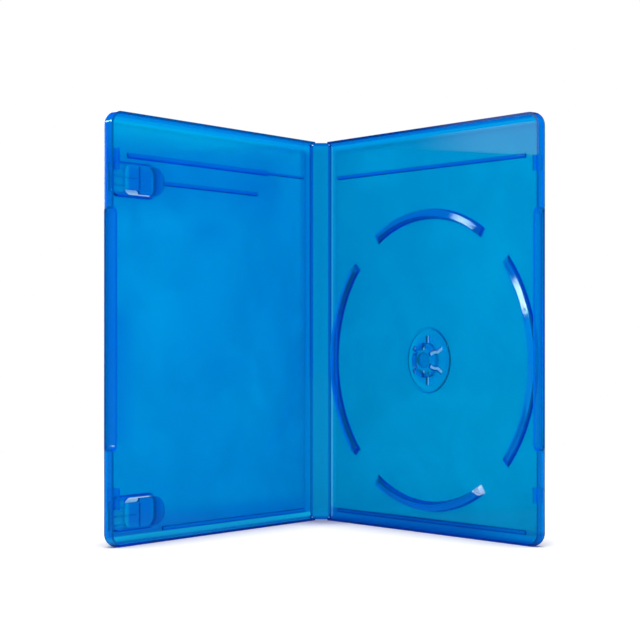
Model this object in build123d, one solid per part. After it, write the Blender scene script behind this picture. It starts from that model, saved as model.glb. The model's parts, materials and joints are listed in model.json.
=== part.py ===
from build123d import *
import math
import os

# Game disc case, moulded in clear plastic, standing open on its lower edge.
# Each half is drawn lying on its outer face: X runs from the hinge line to the opening edge,
# Y along the hinge with zero at mid height, Z from the outer face towards the inside.

# Closed case, whose width follows from the disc guards below
case_height = 171.5
case_thickness = 11.5

# How far each hinge stands open, counted from the closed case
tray_opening = 38.4
cover_opening = 37.1

# Moulded walls
shell_thickness = 1.1
edge_radius = 3.0
corner_radius = 5.5
tray_rim = 5.5
parting_gap = 0.3
rim_foot = 1.8
rim_start = 3.4
fit_clearance = 0.3

# Film hinges and spine
web_thickness = 0.4
hinge_gap = 0.35
hinge_margin = 0.5
spine_thickness = 1.2
spine_corner = 1.6
spine_chamfer = 0.35
hinge_edge_radius = 0.9

# Finger recess in both opening edges
recess_length = 94.0
recess_depth = 2.0
recess_corner = 1.6

# Disc hub and its seat
hub_radius = 7.4
hub_bead = 0.1
hub_height = 2.5
dimple_radius = 3.3
dimple_slope = 0.5
dimple_depth = 0.5
petal_thickness = 1.0
petal_count = 6
slot_width = 1.9
slot_start = 4.4
slot_reach = 10.4
seat_radius = 14.1
seat_height = 0.5
seat_taper = 45.0
disc_thickness = 1.2

# Guards round the disc
guard_radius = 61.2
guard_foot = 3.2
guard_crest = 0.4
guard_height = 2.6
guard_draft = 1.2
guard_shoulder = 0.5
guard_fall = 0.7
guard_ramp = 4.0
side_guard_half_angle = 42.0
end_guard_half_angle = 32.6
guard_from_hinge = 1.5
guard_from_edge = 4.5
guard_from_bottom = 8.6

# Latches near the ends of the opening edge
latch_from_end = 19.1
latch_length = 8.6
latch_rise = 1.0
tongue_length = 6.2
tongue_shift = 1.3
tongue_thickness = 0.8
tongue_root = 3.0
keeper_thickness = 1.0
keeper_rise = 0.9

# Booklet clips of the cover and the bordered windows under them
upper_clip_from_top = 26.1
lower_clip_from_bottom = 12.6
clip_length = 32.6
clip_neck_length = 17.6
clip_width = 11.6
clip_end_radius = 5.6
clip_gap = 2.3
clip_thickness = 1.0
clip_edge_radius = 0.4
clip_side_gap = 0.2
clip_overhang = 2.8
notch_length = 9.0
notch_depth = 1.4
notch_corner = 1.2
window_length = 18.6
window_corner = 3.5
border_width = 1.2
border_rise = 0.8
border_taper = 40.0
grip_width = 1.0
gusset_width = 0.8
long_gusset = 12.0
short_gusset = 6.0
gusset_spacing = 3.4

# Stiffening ribs on the two floors
rib_width = 1.8
rib_rise = 0.7
upper_rib_width = 2.3
thin_rib_width = 1.2
thin_rib_rise = 0.5
rib_inset = 5.5
upper_rib_from_top = 16.4
upper_rib_from_edge = 13.8
lower_rib_from_bottom = 4.6
thin_rib_start = 31.5
second_rib_near = 39.0

# Clear sleeve on the outside
sleeve_thickness = 0.15
sleeve_margin = 1.6

# Sizes that follow
hub_reach = guard_from_hinge + guard_foot + guard_radius
hub_from_bottom = guard_from_bottom + guard_foot + guard_radius
case_width = hub_reach + guard_radius + guard_foot + guard_from_edge + web_thickness / 2
panel_reach = case_width - web_thickness / 2
hinge_height = shell_thickness + hinge_gap
hinge_spacing = case_thickness - 2 * hinge_height
cover_rim = case_thickness - tray_rim
half_height = case_height / 2
hinge_edge = -web_thickness / 2
seat_level = shell_thickness + seat_height
hub_level = seat_level + hub_height
tongue_outer = shell_thickness + fit_clearance
tongue_inner = tongue_outer + tongue_thickness
keeper_outer = tongue_inner + fit_clearance
keeper_inner = keeper_outer + keeper_thickness
clip_end = panel_reach - clip_length
clip_neck = panel_reach - clip_neck_length
clip_low = shell_thickness + clip_gap
clip_top = clip_low + clip_thickness
spill = edge_radius


def plan(inset, start):
    # outline of a half, drawn inside its outer walls by the inset
    reach = panel_reach - inset
    sheet = Pos((reach + start) / 2, 0) * Rectangle(reach - start, case_height - 2 * inset)
    return fillet(sheet.vertices().group_by(Axis.X)[-1], corner_radius - inset)


def rounded_slab(inset, start, top):
    # slab over the outline with its lower edge rounded on the three free sides
    slab = Pos(0, 0, inset) * extrude(plan(inset, start), top - inset)
    rim = slab.faces().sort_by(Axis.Z)[0].edges().sort_by(Axis.X)[1:]
    return fillet(rim, edge_radius - inset)


def recess_plan(grow):
    # finger recess, grown by a wall for the block that carries its inner wall
    depth = recess_depth + grow
    length = recess_length + 2 * grow
    sheet = Pos(panel_reach + (spill - depth) / 2, 0) * Rectangle(depth + spill, length)
    return fillet(sheet.vertices().group_by(Axis.X)[0], recess_corner + grow)


def raise_plan(sheet, low, high):
    return Pos(0, 0, low) * extrude(sheet, high - low)


def along_hinge(profile):
    # prism of an XZ profile, longer than the case at both ends
    return extrude(profile, case_height, both=True)


def half_shell(rim_height):
    # shell with rims on three sides, a wall round the finger recess and a free hinge side
    top = rim_height - parting_gap / 2
    above = rim_height + spill
    cavity = rounded_slab(shell_thickness, hinge_edge - spill, above)
    cavity -= raise_plan(recess_plan(shell_thickness), 0, above)
    shell = rounded_slab(0, hinge_edge, top) - cavity
    run_out = Polyline(
        (hinge_edge - spill, shell_thickness),
        (rim_foot, shell_thickness),
        (rim_start, above),
        (hinge_edge - spill, above),
        close=True,
    )
    shell -= along_hinge(make_face(Plane.XZ * run_out))
    corner = Pos(hinge_edge, 0) * Rectangle(2 * hinge_edge_radius, 2 * hinge_edge_radius)
    corner -= Pos(hinge_edge + hinge_edge_radius, hinge_edge_radius) * Circle(hinge_edge_radius)
    return shell - along_hinge(Plane.XZ * corner)


def finger_recess(rim_height):
    # the recess itself, cut last so that nothing is left standing in it
    return raise_plan(recess_plan(0), shell_thickness, rim_height + spill)


def half_round(length, width):
    # rod along X, which shows as a half-round bead where it is half sunk
    return Rot(0, 90, 0) * Cylinder(width / 2, length)


def floor_rib(near, far, across, width, rise):
    # low rib with a rounded crest on the floor of a half, rooted in the floor by its own rise
    root = shell_thickness - rise
    section = Polyline((-width / 2, shell_thickness), (-width / 2, root), (width / 2, root))
    section += Line((width / 2, root), (width / 2, shell_thickness))
    crest = shell_thickness + rise
    section += ThreePointArc((width / 2, shell_thickness), (0, crest), (-width / 2, shell_thickness))
    rib = extrude(make_face(Plane.YZ * section), far - near)
    return Pos(near, across, 0) * rib


def wall_band(inner, outer, length, across):
    # plan of a short band beside the opening edge, between two depths in from it
    middle = panel_reach - (inner + outer) / 2
    return Pos(middle, across) * Rectangle(inner - outer, length)


def disc_hub():
    # closed dome with a press dimple in its top and a snap bead under its round shoulder
    inner = hub_radius - petal_thickness
    under = hub_level - petal_thickness
    bead_level = seat_level + disc_thickness + hub_bead
    shoulder_level = bead_level + 2 * hub_bead
    shoulder = hub_level - shoulder_level
    shoulder_reach = hub_radius + hub_bead - shoulder
    dimple_floor = dimple_radius - dimple_slope
    section = Polyline(
        (shoulder_reach, hub_level),
        (dimple_radius, hub_level),
        (dimple_floor, hub_level - dimple_depth),
        (0, hub_level - dimple_depth),
        (0, under - dimple_depth),
        (dimple_floor, under - dimple_depth),
        (dimple_radius, under),
        (inner - shoulder, under),
        (inner, under - shoulder),
        (inner, shell_thickness),
        (hub_radius, shell_thickness),
        (hub_radius, bead_level),
        (hub_radius + hub_bead, shoulder_level),
    )
    section += CenterArc((shoulder_reach, shoulder_level), shoulder, 0, 90)
    return revolve(make_face(Plane.XZ * section), Axis.Z)


def disc_guard(middle, half_angle):
    # ridge round the disc: drafted inside, gently falling top, steep outside, running out at both ends
    crest = shell_thickness + guard_height
    outside = guard_radius + guard_foot
    section = Polyline(
        (outside, shell_thickness),
        (guard_radius - guard_draft, shell_thickness),
        (guard_radius, crest),
        (guard_radius + guard_crest, crest),
        (outside - guard_shoulder, crest - guard_fall),
        close=True,
    )
    ridge = revolve(make_face(Plane.XZ * section), Axis.Z, 2 * half_angle)
    ridge = Rot(0, 0, middle - half_angle) * ridge
    for side in (-1, 1):
        ramp = Polyline(
            (spill, shell_thickness),
            (0, shell_thickness),
            (-guard_ramp, crest),
            (-guard_ramp, crest + spill),
            (spill, crest + spill),
            close=True,
        )
        cutter = extrude(make_face(Plane.YZ * scale(ramp, (side, 1, 1))), 2 * guard_foot, both=True)
        ridge -= Rot(0, 0, middle + side * half_angle) * Pos(guard_radius, 0, 0) * cutter
    return ridge


def back_tray():
    tray = half_shell(tray_rim)
    hub_place = Pos(hub_reach, hub_from_bottom - half_height, 0)
    seat = extrude(Circle(seat_radius), seat_height, taper=seat_taper)
    tray += hub_place * Pos(0, 0, shell_thickness) * seat
    tray -= hub_place * raise_plan(Circle(seat_radius - shell_thickness), -spill, seat_height)
    tray -= hub_place * raise_plan(Circle(hub_radius - petal_thickness), -spill, hub_level)
    tray += hub_place * disc_hub()
    slot = Pos((slot_start + slot_reach) / 2, 0) * Rectangle(slot_reach - slot_start, slot_width)
    slot = raise_plan(slot, -spill, hub_level + spill)
    for turn in range(petal_count):
        tray -= hub_place * Rot(0, 0, (turn + 0.5) * 360 / petal_count) * slot
    for middle, half_angle in (
        (0, side_guard_half_angle),
        (90, end_guard_half_angle),
        (180, side_guard_half_angle),
        (270, end_guard_half_angle),
    ):
        tray += hub_place * disc_guard(middle, half_angle)
    rib_end = panel_reach - 2 * rib_inset
    tray += floor_rib(rib_inset, rib_end, half_height - upper_rib_from_top, rib_width, rib_rise)
    tray += floor_rib(rib_inset, rib_end, lower_rib_from_bottom - half_height, rib_width, rib_rise)
    rim_top = tray_rim - parting_gap / 2
    for side in (-1, 1):
        across = side * (half_height - latch_from_end - tongue_shift)
        root = wall_band(tongue_inner, shell_thickness / 2, tongue_length, across)
        tray += raise_plan(root, rim_top - tongue_root, rim_top)
        tongue = wall_band(tongue_inner, tongue_outer, tongue_length, across)
        tray += raise_plan(tongue, rim_top - tongue_root, tray_rim + latch_rise)
    return tray - finger_recess(tray_rim)


def booklet_clip():
    # clip with zero across at its own middle, notched on the side towards mid height (plus Y)
    root = panel_reach - shell_thickness / 2
    sheet = Pos((clip_end + root) / 2, 0) * Rectangle(root - clip_end, clip_width)
    sheet = fillet(sheet.vertices().group_by(Axis.X)[0], clip_end_radius)
    notch = RectangleRounded(notch_length, 2 * notch_depth, notch_corner)
    sheet -= Pos(clip_neck + notch_length / 2, clip_width / 2) * notch
    clip = raise_plan(sheet, clip_low, clip_top)
    clip = fillet(clip.faces().sort_by(Axis.Z)[-1].edges(), clip_edge_radius)
    neck_width = clip_width - notch_depth
    middle = -notch_depth / 2
    grip = Rot(0, 0, 90) * half_round(neck_width - grip_width, grip_width)
    clip += Pos(clip_neck, middle, clip_top) * grip
    start = panel_reach - (keeper_outer + keeper_inner) / 2
    for step, length in ((-1, short_gusset), (0, long_gusset), (1, short_gusset)):
        place = Pos(start - length / 2, middle + step * gusset_spacing, clip_top)
        clip += place * half_round(length, gusset_width)
    return clip


def clip_window(far, grow):
    # plan of the opening in the floor under a clip, or grown by a border of the raised pad round it
    near = clip_end + clip_overhang
    width = clip_width + 2 * clip_side_gap
    sheet = RectangleRounded(far - near + 2 * grow, width + 2 * grow, window_corner + grow)
    return Pos((near + far) / 2, 0) * sheet


def front_cover():
    # local Y runs downwards here, because the cover faces the other way
    cover = half_shell(cover_rim)
    pad_far = panel_reach - keeper_inner - border_width
    pad = extrude(clip_window(pad_far, border_width), border_rise, taper=border_taper)
    pad = Pos(0, 0, shell_thickness) * pad
    window_far = clip_end + clip_overhang + window_length
    window_top = shell_thickness + (border_rise + clip_gap) / 2
    window = raise_plan(clip_window(window_far, 0), -spill, window_top)
    clip = booklet_clip()
    upper_clip = Pos(0, upper_clip_from_top - half_height, 0)
    lower_clip = Pos(0, half_height - lower_clip_from_bottom, 0)
    for place, shape in ((upper_clip, clip), (lower_clip, mirror(clip, Plane.XZ))):
        cover += place * pad
        cover -= place * window
        cover += place * shape
    for side in (-1, 1):
        across = side * (half_height - latch_from_end)
        keeper = wall_band(keeper_inner, keeper_outer, latch_length, across)
        cover += raise_plan(keeper, shell_thickness / 2, cover_rim + keeper_rise)
    upper = upper_rib_from_top - half_height
    rib_far = clip_end - rib_width
    upper_far = panel_reach - upper_rib_from_edge
    cover += floor_rib(thin_rib_start, upper_far, upper, upper_rib_width, rib_rise)
    cover += floor_rib(rib_inset, thin_rib_start + rib_inset, upper, thin_rib_width, thin_rib_rise)
    cover += floor_rib(second_rib_near, rib_far, upper_clip_from_top - half_height, rib_width, rib_rise)
    cover += floor_rib(rib_inset, rib_far, half_height - lower_rib_from_bottom, rib_width, rib_rise)
    return cover - finger_recess(cover_rim)


def spine_strip():
    # flat strip between the hinges, notched along its inner long edges so that it can fold
    width = hinge_spacing - 2 * hinge_gap
    sheet = Pos(hinge_spacing / 2, 0) * RectangleRounded(width, case_height, spine_corner)
    strip = extrude(sheet, spine_thickness)
    inner = strip.faces().sort_by(Axis.Z)[-1]
    return chamfer(inner.edges().filter_by(Axis.Y), spine_chamfer)


def sleeve_sheet(near, far):
    # one face of the clear sleeve
    length = case_height - 2 * edge_radius
    sheet = Pos((near + far) / 2, 0) * RectangleRounded(far - near, length, sleeve_margin / 2)
    return Pos(0, 0, -sleeve_thickness) * extrude(sheet, sleeve_thickness)


def hinge_web(axis_point, leave, arrive):
    # thin web bent round the hinge axis, from one moulded edge to the next
    first = axis_point - leave * hinge_gap
    last = axis_point + arrive * hinge_gap
    band = trace(TangentArc(first, last, tangent=leave), web_thickness)
    return Pos(0, 0, hinge_margin) * extrude(band, case_height - 2 * hinge_margin)


# Place the halves round the two hinge lines, tray facing minus Y
def heading(degrees):
    return Vector(math.cos(math.radians(degrees)), math.sin(math.radians(degrees)), 0)


spine_heading = -(90 + tray_opening)
cover_heading = spine_heading + 90 - cover_opening
tray_inside = heading(-90)
spine_way = heading(spine_heading)
spine_inside = heading(spine_heading + 90)
cover_way = heading(cover_heading)
cover_inside = heading(cover_heading + 90)
back_axis = Vector(0, 0, 0)
front_axis = back_axis + spine_way * hinge_spacing
mid = Vector(0, 0, half_height)

tray_frame = Plane(mid + back_axis - tray_inside * hinge_height, (1, 0, 0), tray_inside).location
spine_frame = Plane(mid + back_axis - spine_inside * web_thickness / 2, spine_way, spine_inside).location
cover_frame = Plane(mid + front_axis - cover_inside * hinge_height, cover_way, cover_inside).location

flat_sleeve = sleeve_sheet(sleeve_margin, panel_reach - edge_radius)
strip_margin = hinge_gap + sleeve_margin / 2
strip_sleeve = sleeve_sheet(strip_margin, hinge_spacing - strip_margin)

pieces = {
    "back_tray": tray_frame * back_tray(),
    "spine": spine_frame * spine_strip(),
    "front_cover": cover_frame * front_cover(),
    "back_hinge": hinge_web(back_axis, tray_inside, spine_way),
    "front_hinge": hinge_web(front_axis, spine_way, cover_inside * -1),
    "sleeve_back": tray_frame * flat_sleeve,
    "sleeve_spine": spine_frame * strip_sleeve,
    "sleeve_front": cover_frame * flat_sleeve,
}

# Origin under the middle of the standing case
box = Compound(children=[Compound(shape.solids()) for shape in pieces.values()]).bounding_box()
to_origin = Pos(-box.center().X, -box.center().Y, -box.min.Z)

os.makedirs("parts", exist_ok=True)
for name, shape in pieces.items():
    export_step(to_origin * shape, f"parts/{name}.step")
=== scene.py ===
import json
import math
from types import SimpleNamespace
import bpy
import numpy as np
from mathutils import Matrix, Vector


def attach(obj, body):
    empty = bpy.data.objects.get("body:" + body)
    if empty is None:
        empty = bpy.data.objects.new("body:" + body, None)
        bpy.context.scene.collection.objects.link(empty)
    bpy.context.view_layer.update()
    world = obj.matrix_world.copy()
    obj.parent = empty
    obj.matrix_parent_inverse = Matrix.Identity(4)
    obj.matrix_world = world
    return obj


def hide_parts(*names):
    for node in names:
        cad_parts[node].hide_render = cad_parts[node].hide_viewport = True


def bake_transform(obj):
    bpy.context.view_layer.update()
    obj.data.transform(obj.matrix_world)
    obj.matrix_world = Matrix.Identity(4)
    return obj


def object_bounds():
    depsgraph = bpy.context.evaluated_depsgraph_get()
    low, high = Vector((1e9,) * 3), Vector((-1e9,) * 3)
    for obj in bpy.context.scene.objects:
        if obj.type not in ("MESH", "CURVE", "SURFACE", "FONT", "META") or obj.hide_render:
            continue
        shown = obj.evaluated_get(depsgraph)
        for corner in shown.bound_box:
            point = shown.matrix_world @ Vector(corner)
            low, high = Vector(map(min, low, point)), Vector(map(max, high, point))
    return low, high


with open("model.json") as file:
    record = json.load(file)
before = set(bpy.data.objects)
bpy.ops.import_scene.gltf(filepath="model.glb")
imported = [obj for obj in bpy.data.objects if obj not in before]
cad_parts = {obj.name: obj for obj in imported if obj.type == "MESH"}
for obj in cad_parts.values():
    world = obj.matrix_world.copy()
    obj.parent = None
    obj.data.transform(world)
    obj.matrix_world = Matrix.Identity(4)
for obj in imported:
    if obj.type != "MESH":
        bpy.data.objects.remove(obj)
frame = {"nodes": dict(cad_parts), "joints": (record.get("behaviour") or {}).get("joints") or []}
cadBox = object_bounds()
scene = bpy.context.scene
scene.view_settings.view_transform = "Standard"
scene.cycles.max_bounces = 16
scene.cycles.transmission_bounces = 16
mm = 0.001
white, black = (1, 1, 1, 1), (0, 0, 0, 1)
joints = {joint["name"]: joint["pos_m"] for joint in frame["joints"]}
backFold, frontFold = joints["back_fold"], joints["front_fold"]
caseMiddle = (cadBox[0] + cadBox[1]) / 2
caseHeight = float(cadBox[1][2] - cadBox[0][2])
panelReach = float(cadBox[1][0] - backFold[0])  # hinge line to opening edge
spineWidth = math.dist(backFold, frontFold)
print("frame loaded:", sorted(frame["nodes"]))


# one wrapped socket: expressions on it add Math nodes, node() adds any other node
class Wire:
    def __init__(self, tree, socket):
        self.tree = tree
        self.socket = socket

    def node(self, kind, settings=None, out=0, **sockets):
        # a socket goes by its name, or by its number as s0, s1 and so on
        made = self.tree.nodes.new("ShaderNode" + kind)
        for key, value in (settings or {}).items():
            setattr(made, key, value)
        for key, value in sockets.items():
            name = key.replace("_", " ")
            place = made.inputs[int(key[1:])] if key[1:].isdigit() else made.inputs[name]
            if isinstance(value, Wire):
                self.tree.links.new(value.socket, place)
            else:
                place.default_value = value
        return Wire(self.tree, made.outputs[out])

    def math(self, operation, first, second=0.0):
        return self.node("Math", {"operation": operation}, s0=first, s1=second)

    def __add__(self, other):
        return self.math("ADD", self, other)

    def __radd__(self, other):
        return self.math("ADD", other, self)

    def __sub__(self, other):
        return self.math("SUBTRACT", self, other)

    def __rsub__(self, other):
        return self.math("SUBTRACT", other, self)

    def __mul__(self, other):
        return self.math("MULTIPLY", self, other)

    def __rmul__(self, other):
        return self.math("MULTIPLY", other, self)

    def __pow__(self, other):
        return self.math("POWER", self, other)

    def top(self, other):
        return self.math("MAXIMUM", self, other)

    def low(self, other):
        return self.math("MINIMUM", self, other)

    def size(self):
        return self.math("ABSOLUTE", self)

    def ramp(self, low, high, toLow=0.0, toHigh=1.0):
        # smooth step from one value at low to the other at high
        return self.node("MapRange", {"interpolation_type": "SMOOTHSTEP"}, Value=self, From_Min=low,
                         From_Max=high, To_Min=toLow, To_Max=toHigh)


def blank(owner):
    # empties a node tree and gives back a wire to build from
    tree = owner.node_tree
    tree.nodes.clear()
    return Wire(tree, None)


def newMaterial(name):
    made = bpy.data.materials.new(name)
    made.use_nodes = True
    return made, blank(made)


def finishTree(wire, kind, **links):
    out = wire.tree.nodes.new("ShaderNode" + kind)
    for key, value in links.items():
        wire.tree.links.new(value.socket, out.inputs[key])


def mixColor(wire, factor, first, second):
    return wire.node("Mix", {"data_type": "RGBA"}, out=2, s0=factor, s6=first, s7=second)


def dot(wire, spot, way):
    return wire.node("VectorMath", {"operation": "DOT_PRODUCT"}, out=1, s0=spot, s1=way)


def lightPath(wire, *names):
    path = wire.node("LightPath").socket.node
    return [Wire(wire.tree, path.outputs[name]) for name in names]


def panelSpot(wire, hinge, way):
    # object coordinates, distance from the hinge line along one level direction, and height
    spot = wire.node("TexCoord", out=3)
    reach = dot(wire, spot, (way[0], way[1], 0)) - float(way[0] * hinge[0] + way[1] * hinge[1])
    return spot, reach, wire.node("SeparateXYZ", out=2, s0=spot)


def within(reach, height, place, soft):
    # one inside a circle or a rectangle of the panel, nought outside it
    beside, above = (reach - place[0]).size(), (height - place[1]).size()
    if len(place) == 3:
        return ((beside ** 2.0 + above ** 2.0) ** 0.5).ramp(place[2] + soft, place[2] - soft)
    return beside.ramp(place[2] + soft, place[2] - soft) * above.ramp(place[3] + soft, place[3] - soft)


# camera: level, with a long lens, on the line through the middle of the spine
eye = {
    "azimuth": 51.35,  # degrees from the tray's normal
    "distance": 0.7661,
    "sideways": 0.00028,
    "height": 0.07984,
    "focalPixels": 1679.7,
    "horizonPixel": 344.13,
    "imagePixels": 640,
    "sensor": 36.0,
}


def placeCamera():
    middle = (Vector(backFold) + Vector(frontFold)) / 2
    turn = math.radians(eye["azimuth"])
    ahead = Vector((-math.sin(turn), math.cos(turn), 0))
    right = Vector((math.cos(turn), math.sin(turn), 0))
    spot = middle - ahead * eye["distance"] - right * eye["sideways"]
    data = bpy.data.cameras.new("camera")
    data.sensor_width = eye["sensor"]
    data.lens = eye["focalPixels"] / eye["imagePixels"] * eye["sensor"]
    data.shift_y = (eye["horizonPixel"] - eye["imagePixels"] / 2) / eye["imagePixels"]
    camera = bpy.data.objects.new("camera", data)
    scene.collection.objects.link(camera)
    axes = Matrix((right, Vector((0, 0, 1)), -ahead)).transposed()
    camera.matrix_world = Matrix.Translation((spot.x, spot.y, eye["height"])) @ axes.to_4x4()
    scene.camera = camera
    return ahead, right


ahead, right = placeCamera()
print("camera placed")


# studio: a bright field behind the case, so that what bends the light turns dark; reflections see a dark
# room with a few lights in it, and everything else a soft even light from all round
# directions are right, ahead and up from the camera; edges are cosines from dark to full
studio = {
    "fieldWay": (0.0, 1.0, 0.0),
    "fieldEdges": (0.86, 0.97),
    "fieldDark": (0.03, 0.20, 1.10, 1),
    "mirrorDark": (0.01, 0.03, 0.06, 1),
    "mirrorLights": (  # two white cards, then three small softboxes for the glints
        ((-0.500, 0.87, 0.05), (0.800, 0.920), (3.0, 3.0, 3.0, 1)),
        ((-0.9976, 0.070, 0.123), (0.9955, 0.9990), (1.0, 1.0, 1.0, 1)),
        ((-0.931, 0.025, 0.365), (0.991, 0.998), (28.0, 40.0, 40.0, 1)),
        ((-0.896, -0.393, 0.235), (0.996, 0.9995), (22.4, 32.0, 32.0, 1)),
        ((-0.650, -0.55, 0.52), (0.989, 0.996), (42.0, 60.0, 60.0, 1)),
    ),
    "onceEdges": (2.4, 2.6),  # ray depth: the background counts a first reflection as 2
    "sideWay": (0.96, 0.28, 0.10),
    "sideEdges": (0.75, 0.92),
    "sideColor": (0.0, 0.60, 0.75, 1),
    "ambient": 0.55,
}
rayKinds = ("Is Camera Ray", "Is Transmission Ray", "Is Glossy Ray")


def lightStudio():
    world = bpy.data.worlds.new("studio")
    scene.world = world
    world.use_nodes = True
    wire = blank(world)
    seen, through, mirrored, depth = lightPath(wire, *rayKinds, "Ray Depth")
    way = wire.node("TexCoord", out=0)

    def towards(place, edges):
        spot = (right * place[0] + ahead * place[1] + Vector((0, 0, place[2]))).normalized()
        return dot(wire, way, tuple(spot)).ramp(*edges)

    field = mixColor(wire, towards(studio["fieldWay"], studio["fieldEdges"]), studio["fieldDark"], white)
    side = towards(studio["sideWay"], studio["sideEdges"])
    mirror = mixColor(wire, side, studio["mirrorDark"], studio["sideColor"])
    once = depth.ramp(*studio["onceEdges"], 1.0, 0.0)
    for place, edges, light in studio["mirrorLights"]:
        mirror = mixColor(wire, towards(place, edges) * once, mirror, light)
    color = mixColor(wire, mirrored, (studio["ambient"],) * 3 + (1,), mirror)
    color = mixColor(wire, through, color, field)
    color = mixColor(wire, seen, color, white)
    glow = wire.node("Background", Color=color, Strength=1.0)
    finishTree(wire, "OutputWorld", Surface=glow)


lamps = {
    "keyLamp": {"spot": (0.55, -0.75, 0.95), "size": (0.3, 0.3), "power": 3.0},
    "topLamp": {"spot": (-0.10, 0.05, 0.75), "size": (0.6, 0.6), "power": 0.8},
}


def hangLamps():
    # soft square lamps that face the middle of the case and don't show in reflections
    for name, lamp in lamps.items():
        data = bpy.data.lights.new(name, "AREA")
        data.shape = "RECTANGLE"
        data.size, data.size_y = lamp["size"]
        data.energy = lamp["power"]
        made = bpy.data.objects.new(name, data)
        scene.collection.objects.link(made)
        made.visible_glossy = False
        made.location = lamp["spot"]
        made.rotation_euler = (caseMiddle - made.location).to_track_quat("-Z", "Y").to_euler()


lightStudio()
hangLamps()
print("studio lit")


# floor: pale paper with a contact shadow, white further out; reflections see it as painted shade inside the
# open case
ground = {
    "size": 3.0,
    "color": (0.90, 0.90, 0.90, 1),
    "glow": 0.70,  # as the camera sees it
    "glowThrough": 0.30,  # as seen through the plastic
    "contactReach": 30.0 * mm,
    "contactEdges": (0.45, 0.95),
    "contactSamples": 4,
    "fade": (0.22, 0.60),
    "mirrored": (0.04, 0.60),  # level in reflections inside the open case and outside it
    "outsideEdges": (10.0 * mm, 30.0 * mm),  # beyond the outer face of a half
    "besideEdges": (130.0 * mm, 90.0 * mm),  # from the hinge line
}


def outsideCase(wire, walls):
    # one on the floor behind either half, nought inside the open case and past the opening edges
    behind = []
    for hinge, along, inward in walls:
        beyond = panelSpot(wire, hinge, -inward)[1].ramp(*ground["outsideEdges"])
        behind.append(beyond * panelSpot(wire, hinge, along)[1].ramp(*ground["besideEdges"]))
    return behind[0].top(behind[1])


def paleFloor(walls):
    material, wire = newMaterial("paleFloor")
    seen, through, mirrored = lightPath(wire, *rayKinds)

    def shine(level):
        return wire.node("Emission", Color=white, Strength=level)

    lit = wire.node("AmbientOcclusion", {"samples": ground["contactSamples"]}, out=1,
                    Distance=ground["contactReach"])
    glowing = (seen * ground["glow"] + through * ground["glowThrough"]) * lit.ramp(*ground["contactEdges"])
    paper = wire.node("BsdfDiffuse", Color=ground["color"])
    near = wire.node("AddShader", s0=paper, s1=shine(glowing))
    shown = seen.top(through)
    far = shine(shown + (1 - shown) * studio["ambient"])
    away = wire.node("VectorMath", {"operation": "LENGTH"}, out=1, s0=wire.node("TexCoord", out=3))
    paved = wire.node("MixShader", s0=away.ramp(*ground["fade"]), s1=near, s2=far)
    # painted shade: in reflections the floor is dark inside the open case and brighter behind the halves
    inner, outer = ground["mirrored"]
    dull = shine(inner + outsideCase(wire, walls) * (outer - inner))
    paved = wire.node("MixShader", s0=mirrored * (1 - through), s1=paved, s2=dull)
    finishTree(wire, "OutputMaterial", Surface=paved)
    return material


def addFloor(walls):
    # walls: hinge point, direction away from it and inward direction of each half
    side = ground["size"]
    grid = np.array([(-side, -side, 0), (side, -side, 0), (side, side, 0), (-side, side, 0)])
    mesh = bpy.data.meshes.new("floor")
    mesh.from_pydata(grid.tolist(), [], [(0, 1, 2, 3)])
    floor = bpy.data.objects.new("floor", mesh)
    scene.collection.objects.link(floor)
    mesh.materials.append(paleFloor(walls))


# places on the halves: reach from the hinge line and height, then a radius or two half sizes
hubSpot = (65.9 * mm, 73.0 * mm)
clipHeights = (145.4 * mm, 12.6 * mm)
places = {
    "hub": hubSpot + (12.0 * mm,),
    "seat": hubSpot + (15.0 * mm,),
    "clips": [(114.3 * mm, height, 9.3 * mm, 6.0 * mm) for height in clipHeights],
    "necks": [(127.6 * mm, height, 4.0 * mm, 5.5 * mm) for height in clipHeights],
}
openings = {"tray": [places["hub"]], "cover": places["clips"], "spine": []}


# clear blue moulding: mostly glass, partly haze, deeper where it is thick; most tints and all glows set by
# place are painted light and shade
# edges are where a mask starts and where it is full, and may be followed by the two values there
blue = {
    "clear": 0.80,
    "ior": 1.49,
    "density": 3000.0,
    "absorb": (0.0, 0.90, 0.998, 1),
    "flow": {"Scale": 45.0, "Detail": 3.0, "Roughness": 0.5},
    "flowEdges": (0.3, 0.7),
    "grain": {"Scale": 900.0, "Detail": 2.0},
    "grainShare": 0.1,
    "bumpStrength": 0.15,
    "bumpHeight": 0.02 * mm,
    "patch": {"Scale": 16.0, "Detail": 2.5, "Roughness": 0.55, "Distortion": 0.6},
    "patchRise": (0.30, 0.65, 0.0, 0.25),  # shares of the plain tint, the rest is the deep one
    # painted light: lighter towards the top and away from the hinge
    "heightRise": (40.0 * mm, 165.0 * mm, 0.0, 0.45),
    "reachRise": (0.0, 110.0 * mm, 0.0, 0.30),
    # painted shade darkens the ribs, and a painted highlight lightens the low ones (lowRib)
    "ribEdges": (-0.28 * mm, -0.05 * mm),
    "ribTop": (0.40 * mm, 0.80 * mm),
    "rib": (0.0, 0.24, 0.90, 1),
    "lowRibEdges": (20.0 * mm, 15.0 * mm),
    "lowRib": (0.0, 0.52, 1.0, 1),
    # painted light: lighter walls, bluer rims with a faint painted glow (rimGlow), and a lighter upper lip
    "wallEdges": (0.4 * mm, 1.2 * mm),
    "rimEdges": (4.2 * mm, 2.2 * mm),
    "rimGlow": (0.0, 0.006, 0.028, 1),
    "lipEdges": (5.5 * mm, 4.0 * mm),
    "lipEnd": (2.0 * mm, 4.0 * mm),
    # painted shade: a dark sole along the bottom edge
    "soleEdges": (1.5 * mm, 0.9 * mm),
    "sole": (0.0, 0.22, 0.75, 1),
}
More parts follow.
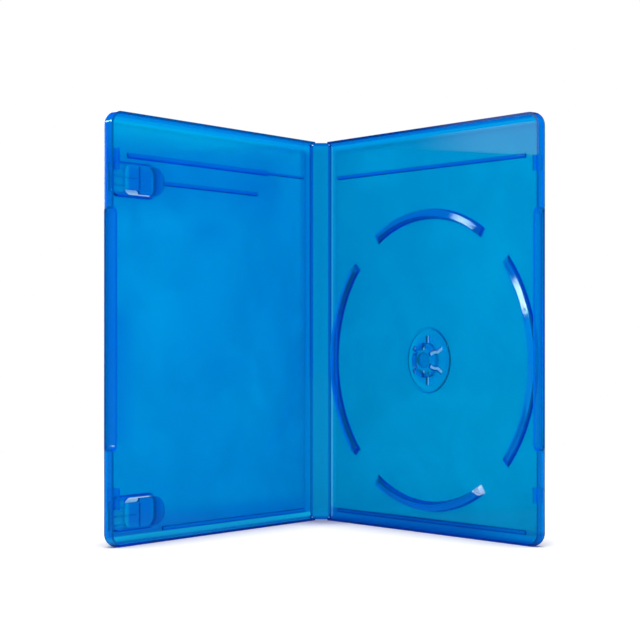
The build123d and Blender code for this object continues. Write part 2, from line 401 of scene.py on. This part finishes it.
trayLook = {
    "rough": (0.03, 0.07),
    # painted light: each part's plain and deep tints are lit and shaded copies of the one blue
    "plain": (0.0, 0.645, 0.85, 1),
    "deep": (0.0, 0.53, 0.76, 1),
    # painted light on the walls, rims and upper lip
    "wall": (0.0, 0.74, 1.0, 1),
    "rim": (0.0, 0.66, 0.97, 1),
    "lip": (0.0, 0.88, 0.80, 1),
    # painted shade: a dark foot band and a dark crown along the top edge
    "footEdges": (6.2 * mm, 5.2 * mm),
    "footFade": (85.0 * mm, 125.0 * mm, 1.0, 0.4),
    "foot": (0.0, 0.28, 0.70, 1),
    "crownEdges": (1.8 * mm, 1.1 * mm),
    "crown": (0.0, 0.32, 0.80, 1),
    "seatSoft": 0.5 * mm,
    "hubWall": 1.25 * mm,  # level of the middle of the hub's upright wall
    "hubEdges": (0.8 * mm, 1.1 * mm),
    "hubSoft": 2.0 * mm,
    # painted light: the hub's floor and dome are tinted lighter
    "hub": (0.0, 0.90, 0.95, 1),
    # painted light: a faint glow in the walls and a painted highlight streak beside the hinge
    "wallGlow": (0.0, 0.032, 0.045, 1),
    "streakNear": (0.2 * mm, 0.6 * mm),
    "streakFar": (2.0 * mm, 1.5 * mm),
    "streakLevel": (-0.8 * mm, -0.5 * mm),
    "streakFade": (20.0 * mm, 140.0 * mm, 1.0, 0.4),
    "streak": (0.03, 0.08, 0.16, 1),
    "guardEdges": (8.0 * mm, 10.0 * mm),
    "guardShown": 0.62,
}
coverLook = {
    "rough": (0.06, 0.14),
    # painted light: a lit copy of the one blue
    "plain": (0.0, 0.61, 0.96, 1),
    "deep": (0.0, 0.46, 0.87, 1),
    # painted light on the walls, rims and upper lip
    "wall": (0.0, 0.64, 1.0, 1),
    "rim": (0.0, 0.64, 1.0, 1),
    "lip": (0.0, 1.0, 0.90, 1),
    # painted light: a lighter foot band; painted shade: a dark crown along the top edge
    "footEdges": (3.7 * mm, 3.2 * mm),
    "footFade": (85.0 * mm, 125.0 * mm, 1.0, 1.0),
    "foot": (0.06, 0.95, 1.0, 1),
    "crownEdges": (1.6 * mm, 1.0 * mm),
    "crown": (0.0, 0.40, 0.90, 1),
    # painted light: the top of the cover is tinted lighter
    "brightEdges": (157.0 * mm, 169.0 * mm),
    "brightReach": (10.0 * mm, 90.0 * mm, 0.35, 1.0),
    "bright": (0.0, 0.86, 1.0, 1),
    # painted light and shade in patches: shade under the top, a painted shadow beside the recess, two
    # lighter pools and a smaller shade
    "clouds": (  # reach, height and half sizes, softness, tint and strength
        ((84.0 * mm, 149.0 * mm, 60.0 * mm, 10.0 * mm), 11.0 * mm, (0.0, 0.43, 0.88, 1), 0.9),
        ((125.0 * mm, 66.0 * mm, 6.0 * mm, 26.0 * mm), 6.0 * mm, (0.0, 0.43, 0.90, 1), 0.9),
        ((103.0 * mm, 97.0 * mm, 8.0 * mm, 22.0 * mm), 18.0 * mm, (0.0, 0.68, 1.00, 1), 0.7),
        ((42.0 * mm, 66.0 * mm, 14.0 * mm, 26.0 * mm), 20.0 * mm, (0.0, 0.60, 0.96, 1), 0.8),
        ((70.0 * mm, 128.0 * mm, 14.0 * mm, 5.0 * mm), 10.0 * mm, (0.0, 0.46, 0.88, 1), 0.8),
    ),
    # painted shade: a darker band beside the hinge, and darker towards the lower edge
    "bandEdges": (7.4 * mm, 6.9 * mm),
    "bandTop": (169.0 * mm, 165.0 * mm),
    "band": (0.0, 0.44, 0.86, 1),
    "lowEdges": (15.0 * mm, 6.5 * mm),
    "low": (0.0, 0.42, 0.90, 1),
    "clipSoft": 1.0 * mm,
    "clip": (0.0, 0.52, 0.95, 1),
    "neckSoft": 0.8 * mm,
    "neck": (0.0, 0.95, 1.0, 1),
}
spineLook = {
    "rough": (0.05, 0.10),
    # painted shade: the spine's tints are a darker, shaded copy of the one blue
    "plain": (0.0, 0.45, 0.75, 1),
    "deep": (0.0, 0.49, 0.75, 1),
    # painted shade: dark hinge lines and cut ends
    "hingeEdges": (1.1 * mm, 0.6 * mm),
    "endEdges": (1.7 * mm, 1.0 * mm),
    "hinge": (0.0, 0.22, 0.66, 1),
}


def markPanel(wire, part, hinge, along, inward):
    # where a point lies: reach from the hinge line, height, level inward of the hinge line, distance before
    # the opening edge, below the top and from the nearest outer edge; and masks of the rims and walls
    spot, reach, height = panelSpot(wire, hinge, along)
    level = panelSpot(wire, hinge, inward)[1]
    before, below = panelReach - reach, caseHeight - height
    edge = before.low(height).low(below)
    offSeat = 1.0
    if part == "tray":
        offSeat = 1 - within(reach, height, places["seat"], trayLook["seatSoft"])
    return SimpleNamespace(spot=spot, reach=reach, height=height, level=level, before=before, below=below,
                           edge=edge, offSeat=offSeat, rim=edge.ramp(*blue["rimEdges"]),
                           wall=level.ramp(*blue["wallEdges"]) * offSeat)


def reliefPaintedLight(wire, at, look):
    # painted light and shade of a half: on the ribs, walls, rims, upper lip, foot, sole and crown
    rib = at.level.ramp(*blue["ribEdges"]) * at.level.ramp(*blue["ribTop"], 1.0, 0.0) * at.offSeat
    ribTint = mixColor(wire, rib * at.height.ramp(*blue["lowRibEdges"]), blue["rib"], blue["lowRib"])
    lip = at.below.ramp(*blue["lipEdges"]) * at.wall * at.before.ramp(*blue["lipEnd"])
    foot = at.height.ramp(*look["footEdges"]) * at.reach.ramp(*look["footFade"])
    return [
        (rib, ribTint),
        (at.wall, look["wall"]),
        (at.rim, look["rim"]),
        (lip, look["lip"]),
        (foot, look["foot"]),
        (at.height.ramp(*blue["soleEdges"]), blue["sole"]),
        (at.below.ramp(*look["crownEdges"]), look["crown"]),
    ]


def trayPaintedLight(wire, at, look):
    # relief, then painted light on the hub's floor and dome, but not on its upright wall
    flat = (at.level - look["hubWall"]).size().ramp(*look["hubEdges"])
    hub = within(at.reach, at.height, places["hub"], look["hubSoft"]) * flat
    return reliefPaintedLight(wire, at, look) + [(hub, look["hub"])]


def coverTintsAndPaintedLight(wire, at, look):
    # painted light on the top, patches of painted light and shade, painted shade beside the hinge and
    # towards the lower edge, then relief, clips and their necks
    coverTints = [(at.height.ramp(*look["brightEdges"]) * at.reach.ramp(*look["brightReach"]), look["bright"])]
    for place, soft, patchTint, strength in look["clouds"]:
        coverTints.append((within(at.reach, at.height, place, soft) * strength, patchTint))
    coverTints.append((at.reach.ramp(*look["bandEdges"]) * at.height.ramp(*look["bandTop"]), look["band"]))
    coverTints.append((at.height.ramp(*look["lowEdges"]), look["low"]))
    coverTints += reliefPaintedLight(wire, at, look)
    for place in places["clips"]:
        coverTints.append((within(at.reach, at.height, place, look["clipSoft"]), look["clip"]))
    for place in places["necks"]:
        coverTints.append((within(at.reach, at.height, place, look["neckSoft"]), look["neck"]))
    return coverTints


def spinePaintedShade(wire, at, look):
    # painted shade: dark hinge lines along both sides and darker cut ends
    sides = at.reach.low(spineWidth - at.reach).ramp(*look["hingeEdges"])
    ends = at.height.low(at.below).ramp(*look["endEdges"])
    return [(sides.top(ends), look["hinge"])]


def trayLight(wire, at, glow):
    # painted light: a faint glow in the walls and a painted highlight streak down the bend beside the hinge,
    # and how much guards show
    look = trayLook
    glow = mixColor(wire, at.wall * (1 - at.rim), glow, look["wallGlow"])
    streak = at.reach.ramp(*look["streakNear"]) * at.reach.ramp(*look["streakFar"])
    streak = streak * at.level.ramp(*look["streakLevel"]) * at.height.ramp(*look["streakFade"])
    guards = at.wall * at.edge.ramp(*look["guardEdges"])
    return mixColor(wire, streak, glow, look["streak"]), 1 - guards * (1 - look["guardShown"])


partLooksAndPaintedLight = {
    "cover": (coverLook, coverTintsAndPaintedLight),
    "tray": (trayLook, trayPaintedLight),
    "spine": (spineLook, spinePaintedShade),
}


def bluePlastic(part, hinge, along, inward):
    # along leads away from the hinge and inward into the open case
    material, wire = newMaterial(part + "Plastic")
    look, tintsAndPaintedLightOf = partLooksAndPaintedLight[part]
    at = markPanel(wire, part, hinge, along, inward)
    flow = wire.node("TexNoise", Vector=at.spot, **blue["flow"])
    grain = wire.node("TexNoise", Vector=at.spot, **blue["grain"])
    patch = wire.node("TexNoise", Vector=at.spot, **blue["patch"])
    # painted light: lighter towards the top and away from the hinge, over a random mottle
    rise = at.height.ramp(*blue["heightRise"]) + patch.ramp(*blue["patchRise"])
    rise = rise + at.reach.ramp(*blue["reachRise"])
    tint = mixColor(wire, rise, look["deep"], look["plain"])
    # painted light and shade: tints laid over the plain and deep blue by masks of place
    for mask, color in tintsAndPaintedLightOf(wire, at, look):
        tint = mixColor(wire, mask, tint, color)
    # painted light: a faint glow in the rims
    glow, shown = mixColor(wire, at.rim, black, blue["rimGlow"]), 1.0
    if part == "tray":
        glow, shown = trayLight(wire, at, glow)
    bump = wire.node("Bump", Strength=blue["bumpStrength"], Distance=blue["bumpHeight"],
                     Height=flow + grain * blue["grainShare"])
    rough = flow.ramp(*blue["flowEdges"], *look["rough"])
    body = wire.node("BsdfPrincipled", Base_Color=tint, Roughness=rough, Normal=bump, IOR=blue["ior"],
                     Transmission_Weight=blue["clear"], Emission_Color=glow, Emission_Strength=1.0,
                     Alpha=shown)
    depth = wire.node("VolumeAbsorption", Color=blue["absorb"], Density=blue["density"])
    finishTree(wire, "OutputMaterial", Surface=body, Volume=depth)
    material.cycles.emission_sampling = "NONE"
    return material


# clear sleeve: a thin film held off the outer faces by a hair, slack in the middle, close at its welds
film = {
    "thickness": 0.08 * mm,
    "weldGap": 0.02 * mm,
    "weldWidth": 5.0 * mm,
    "slack": 0.03 * mm,
    "wave": 0.009 * mm,
    "ripples": ((90.0, 55.0, 1.0), (70.0, 40.0, 1.3)),  # rate, rate of its swing, swing
    "feather": 4.0 * mm,
    "featherLeast": 0.05,
    "fade": 3.0 * mm,
    "cells": (60, 76),
    "ior": 1.45,
    "color": (0.985, 0.99, 0.985, 1),
    # painted shade: blue tint of the film over the openings
    "overHole": (0.10, 0.44, 0.86, 1),
    "holeSoft": 2.0 * mm,
    "flow": {"Scale": 60.0, "Detail": 3.0},
    "rough": (0.3, 0.7, 0.025, 0.10),
    "bumpStrength": 0.2,
    "bumpHeight": 0.1 * mm,
    "cling": {"Scale": 30.0, "Detail": 3.0, "Distortion": 1.0},
    "clingShown": (0.35, 0.65, 0.85, 1.0),
}


def clearFilm(part, hinge, along):
    # shows where it stands off the wall and vanishes where it clings to it; tinted blue behind the openings,
    # a painted shade
    material, wire = newMaterial(part + "Film")
    spot, reach, height = panelSpot(wire, hinge, along)
    tint = film["color"]
    for place in openings[part]:
        tint = mixColor(wire, within(reach, height, place, film["holeSoft"]), tint, film["overHole"])
    flow = wire.node("TexNoise", Vector=spot, **film["flow"])
    cling = wire.node("TexNoise", Vector=spot, **film["cling"])
    lift = wire.node("Attribute", {"attribute_name": "lift"}, out=2)
    bump = wire.node("Bump", Strength=film["bumpStrength"], Distance=film["bumpHeight"], Height=flow)
    body = wire.node("BsdfPrincipled", Base_Color=tint, Roughness=flow.ramp(*film["rough"]), Normal=bump,
                     IOR=film["ior"], Transmission_Weight=1.0,
                     Alpha=lift.ramp(0.0, 1.0) * cling.ramp(*film["clingShown"]))
    finishTree(wire, "OutputMaterial", Surface=body)
    return material


def closedSheet(name, inner, outer):
    # two grids of points of one size, sewn together along their rims into a closed shell
    rows, columns = inner.shape[:2]
    count = rows * columns
    number = np.arange(count).reshape(rows, columns)
    quads = np.stack([number[:-1, :-1], number[1:, :-1], number[1:, 1:], number[:-1, 1:]], -1).reshape(-1, 4)
    rim = np.concatenate([number[0, :-1], number[:-1, -1], number[-1, :0:-1], number[:0:-1, 0]])
    after = np.roll(rim, -1)
    sides = np.stack([rim, after, after + count, rim + count], -1)
    faces = np.concatenate([quads, quads[:, ::-1] + count, sides])
    points = np.concatenate([inner.reshape(-1, 3), outer.reshape(-1, 3)])
    mesh = bpy.data.meshes.new(name)
    mesh.from_pydata(points.tolist(), [], faces.tolist())
    mesh.validate()
    mesh.shade_smooth()
    piece = bpy.data.objects.new(name, mesh)
    scene.collection.objects.link(piece)
    return piece


def planAxes(node, hinge):
    # points of a thin upright node, middle of its plan, direction away from the hinge and direction into
    # the open case
    points = np.zeros(len(frame["nodes"][node].data.vertices) * 3, np.float32)
    frame["nodes"][node].data.vertices.foreach_get("co", points)
    points = points.reshape(-1, 3).astype(float)
    flat = points[:, :2]
    middle = (flat.min(0) + flat.max(0)) / 2
    along = np.linalg.eigh(np.cov((flat - middle).T))[1][:, 1]
    along = along * np.sign(along @ (middle - np.array(hinge[:2])))
    inward = np.array((along[1], -along[0]))
    return points, middle, along, inward * np.sign(inward @ (np.array(caseMiddle[:2]) - middle))


def ripple(first, second, rates):
    # sine wave along the first direction that swings as the sine of the second
    rate, swingRate, swing = rates
    return np.sin(first * rate + swing * np.sin(second * swingRate))


def sleeveFilm(name, node, body, hinge, material):
    # film over a rectangle (u along, v up): distance from the wall is weldGap at the welds, plus slack and
    # two crossed ripples, both times a smooth step of the distance to the welds
    points, middle, along, inward = planAxes(node, hinge)
    reach = (points[:, :2] - middle) @ along
    depth = (points[:, :2] - middle) @ -inward
    u = np.linspace(reach.min(), reach.max(), film["cells"][0])
    v = np.linspace(points[:, 2].min(), points[:, 2].max(), film["cells"][1])
    u, v = np.meshgrid(u, v, indexing="ij")
    toWeld = np.minimum(np.minimum(u - u.min(), u.max() - u), v - v.min())
    toEdge = np.minimum(toWeld, v.max() - v)
    step = np.clip(toWeld / film["weldWidth"], 0, 1)
    step = step * step * (3 - 2 * step)
    wave = ripple(u, v, film["ripples"][0]) * ripple(v, u, film["ripples"][1]) + 1
    gap = film["weldGap"] + step * (film["slack"] + film["wave"] * wave)

    def surface(offset):
        flat = middle + u[..., None] * along - (depth.min() + offset)[..., None] * inward
        return np.concatenate([flat, v[..., None]], -1)

    feather = np.clip(toEdge / film["feather"], film["featherLeast"], 1)
    near, far = surface(gap), surface(gap + film["thickness"] * feather)
    facing = np.cross(near[1, 0] - near[0, 0], near[0, 1] - near[0, 0])[:2] @ inward
    turn = slice(None) if facing > 0 else slice(None, None, -1)
    piece = closedSheet(name, near[turn], far[turn])
    shown = np.clip(toEdge / film["fade"], 0, 1)[turn]
    lift = piece.data.attributes.new("lift", "FLOAT", "POINT")
    lift.data.foreach_set("value", np.tile(shown.ravel(), 2).astype(np.float32))
    piece.data.materials.append(material)
    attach(piece, body)
    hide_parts(node)


# film hinges: a thin web bent round each hinge line
web = {"thickness": 0.40 * mm, "gap": 0.35 * mm, "margin": 0.5 * mm, "cells": (24, 40)}


def filmHinge(name, node, spot, first, last, material):
    # arc from one moulded edge to the next: position along it is t, the tangent turns evenly from the
    # first direction to the last, and the two faces lie half a thickness to each side
    t = np.linspace(0, 1, web["cells"][0])
    start, end = math.atan2(first[1], first[0]), math.atan2(last[1], last[0])
    swing = (end - start + math.pi) % (2 * math.pi) - math.pi
    angle = start + swing * t
    steps = np.stack([np.cos(angle), np.sin(angle)], -1)
    path = np.cumsum(np.concatenate([[np.zeros(2)], (steps[1:] + steps[:-1]) / 2]), 0)
    both = first + last
    scale = web["gap"] * (both @ both) / (path[-1] @ both)
    path = np.array(spot[:2]) - web["gap"] * first + path * scale
    side = np.stack([-steps[:, 1], steps[:, 0]], -1) * web["thickness"] / 2
    z = np.linspace(web["margin"], caseHeight - web["margin"], web["cells"][1])

    def surface(flat):
        grid = np.repeat(flat[:, None, :], len(z), 1)
        return np.concatenate([grid, np.broadcast_to(z[None, :, None], grid.shape[:2] + (1,))], -1)

    piece = closedSheet(name, surface(path - side), surface(path + side))
    piece.data.materials.append(material)
    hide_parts(node)
    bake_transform(piece)


def dress():
    ways = {  # hinge point, direction away from it and direction into the open case
        "cover": (frontFold, *planAxes("sleeve_front", frontFold)[2:]),
        "tray": (backFold, *planAxes("sleeve_back", backFold)[2:]),
        "spine": (backFold, *planAxes("sleeve_spine", backFold)[2:]),
    }
    addFloor([ways["tray"], ways["cover"]])
    print("floor laid")
    parts = {"back_tray": "tray", "front_cover": "cover"}
    plastic = {part: bluePlastic(part, *way) for part, way in ways.items()}
    sleeve = {part: clearFilm(part, *way[:2]) for part, way in ways.items()}
    for name, node in frame["nodes"].items():
        node.data.materials.clear()
        node.data.materials.append(plastic[parts.get(name, "spine")])
    print("materials set")
    sleeveFilm("backFilm", "sleeve_back", "tray", backFold, sleeve["tray"])
    sleeveFilm("spineFilm", "sleeve_spine", "spine_strip", backFold, sleeve["spine"])
    sleeveFilm("frontFilm", "sleeve_front", "cover", frontFold, sleeve["cover"])
    across = ways["spine"][1]
    filmHinge("backHinge", "back_hinge", backFold, ways["tray"][2], across,
              plastic["spine"])
    filmHinge("frontHinge", "front_hinge", frontFold, across, -ways["cover"][2],
              plastic["spine"])
    print("sleeve and hinges made")


dress()
